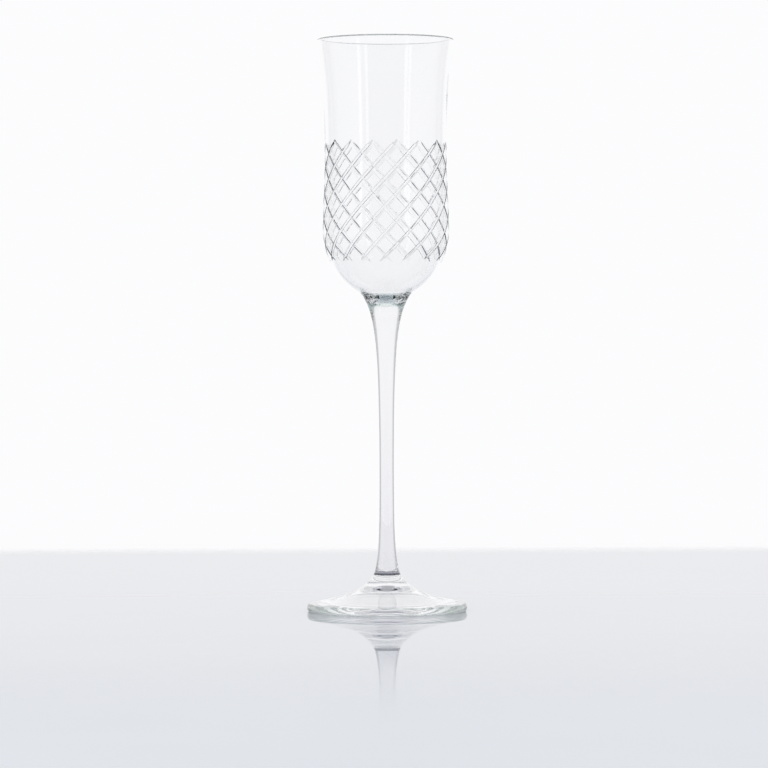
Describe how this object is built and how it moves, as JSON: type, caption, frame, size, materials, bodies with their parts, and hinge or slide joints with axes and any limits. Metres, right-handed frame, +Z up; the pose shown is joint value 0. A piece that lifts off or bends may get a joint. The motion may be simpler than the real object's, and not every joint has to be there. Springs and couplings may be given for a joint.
{
  "type": "champagne glass",
  "caption": "Tall champagne flute of clear glass with a flared rim, a band of cut cross-hatching round the bowl, a slender flared stem and a broad round foot.",
  "frame": {"origin": "centre of the foot, in the plane of the flat ring that it rests on", "axes": "+Z up along the axis of the stem, towards the rim; the glass is the same all round, and +X and +Y each point midway between two of the highest crossings of the cut band"},
  "size_m": [0.0658, 0.0658, 0.235],
  "materials": {
    "clear_glass": "clear polished glass with bright V-shaped cuts"
  },
  "bodies": {
    "root": {"bowl": "clear_glass", "stem": "clear_glass", "foot": "clear_glass"}
  },
  "joints": []
}
